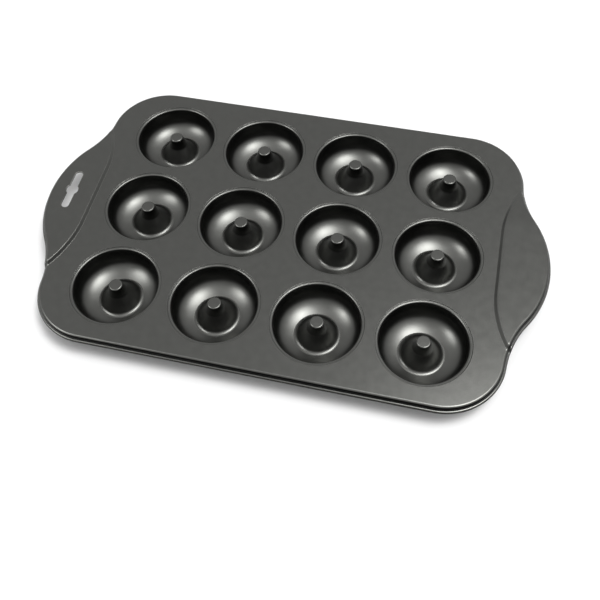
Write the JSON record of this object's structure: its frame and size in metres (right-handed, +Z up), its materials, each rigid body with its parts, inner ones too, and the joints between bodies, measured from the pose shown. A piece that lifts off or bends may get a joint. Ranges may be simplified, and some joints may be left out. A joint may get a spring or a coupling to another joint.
{
  "type": "mini donut pan",
  "caption": "Shallow pressed-steel baking pan with a grid of ring-shaped cups round small posts, raised end handles, a hanging slot and a rolled rim.",
  "frame": {"origin": "middle of the pan, on the surface that the cups stand on", "axes": "+X along the pan towards the handle without a slot, +Y to the back, +Z up out of the cups"},
  "size_m": [0.4038, 0.2528, 0.0224],
  "materials": {
    "coating": "dark grey semi-gloss non-stick coating with a fine grain",
    "wire": "plain drawn wire"
  },
  "bodies": {
    "root": {"deck_panel": "coating", "left_handle": "coating", "right_handle": "coating", "ring_cup_1_1": "coating", "centre_post_1_1": "coating", "ring_cup_1_2": "coating", "centre_post_1_2": "coating", "ring_cup_1_3": "coating", "centre_post_1_3": "coating", "ring_cup_1_4": "coating", "centre_post_1_4": "coating", "ring_cup_2_1": "coating", "centre_post_2_1": "coating", "ring_cup_2_2": "coating", "centre_post_2_2": "coating", "ring_cup_2_3": "coating", "centre_post_2_3": "coating", "ring_cup_2_4": "coating", "centre_post_2_4": "coating", "ring_cup_3_1": "coating", "centre_post_3_1": "coating", "ring_cup_3_2": "coating", "centre_post_3_2": "coating", "ring_cup_3_3": "coating", "centre_post_3_3": "coating", "ring_cup_3_4": "coating", "centre_post_3_4": "coating", "rolled_rim": "coating", "rim_wire": "wire"}
  },
  "joints": []
}
